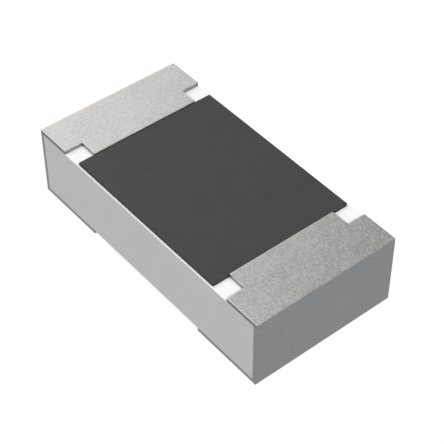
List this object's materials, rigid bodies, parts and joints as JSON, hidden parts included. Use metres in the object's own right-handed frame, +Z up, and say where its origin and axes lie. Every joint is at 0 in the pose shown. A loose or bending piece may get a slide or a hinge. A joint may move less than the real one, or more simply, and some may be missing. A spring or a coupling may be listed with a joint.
{
  "type": "smd chip resistor",
  "caption": "Small rectangular thick-film chip resistor: white ceramic body, dark overcoat on top, and plated T-shaped terminations wrapping both ends.",
  "frame": {"origin": "the middle of the chip, halfway between its two ends, its two sides, and its solder pads and top plating", "axes": "+X along the chip's length towards the end that faces the viewer, +Y across its width away from the long side that shows, +Z up from the solder pads to the printed face"},
  "size_m": [0.0016, 0.0008, 0.0004],
  "materials": {
    "alumina": "fired white alumina, fine matte",
    "resistive_film": "fired black resistor paste",
    "glass_undercoat": "fired green glass print",
    "overcoat": "cured dark epoxy print, satin",
    "printed_silver": "fired silver print",
    "end_face_metal": "sputtered thin metal",
    "nickel": "plated nickel, satin",
    "tin": "matte plated tin"
  },
  "bodies": {
    "root": {"alumina_substrate": "alumina", "resistive_film": "resistive_film", "glass_undercoat": "glass_undercoat", "protective_overcoat": "overcoat", "top_inner_electrode_right": "printed_silver", "top_inner_electrode_left": "printed_silver", "bottom_inner_electrode_right": "printed_silver", "bottom_inner_electrode_left": "printed_silver", "end_face_electrode_right": "end_face_metal", "end_face_electrode_left": "end_face_metal", "nickel_barrier_right": "nickel", "nickel_barrier_left": "nickel", "tin_plating_right": "tin", "tin_plating_left": "tin"}
  },
  "joints": []
}
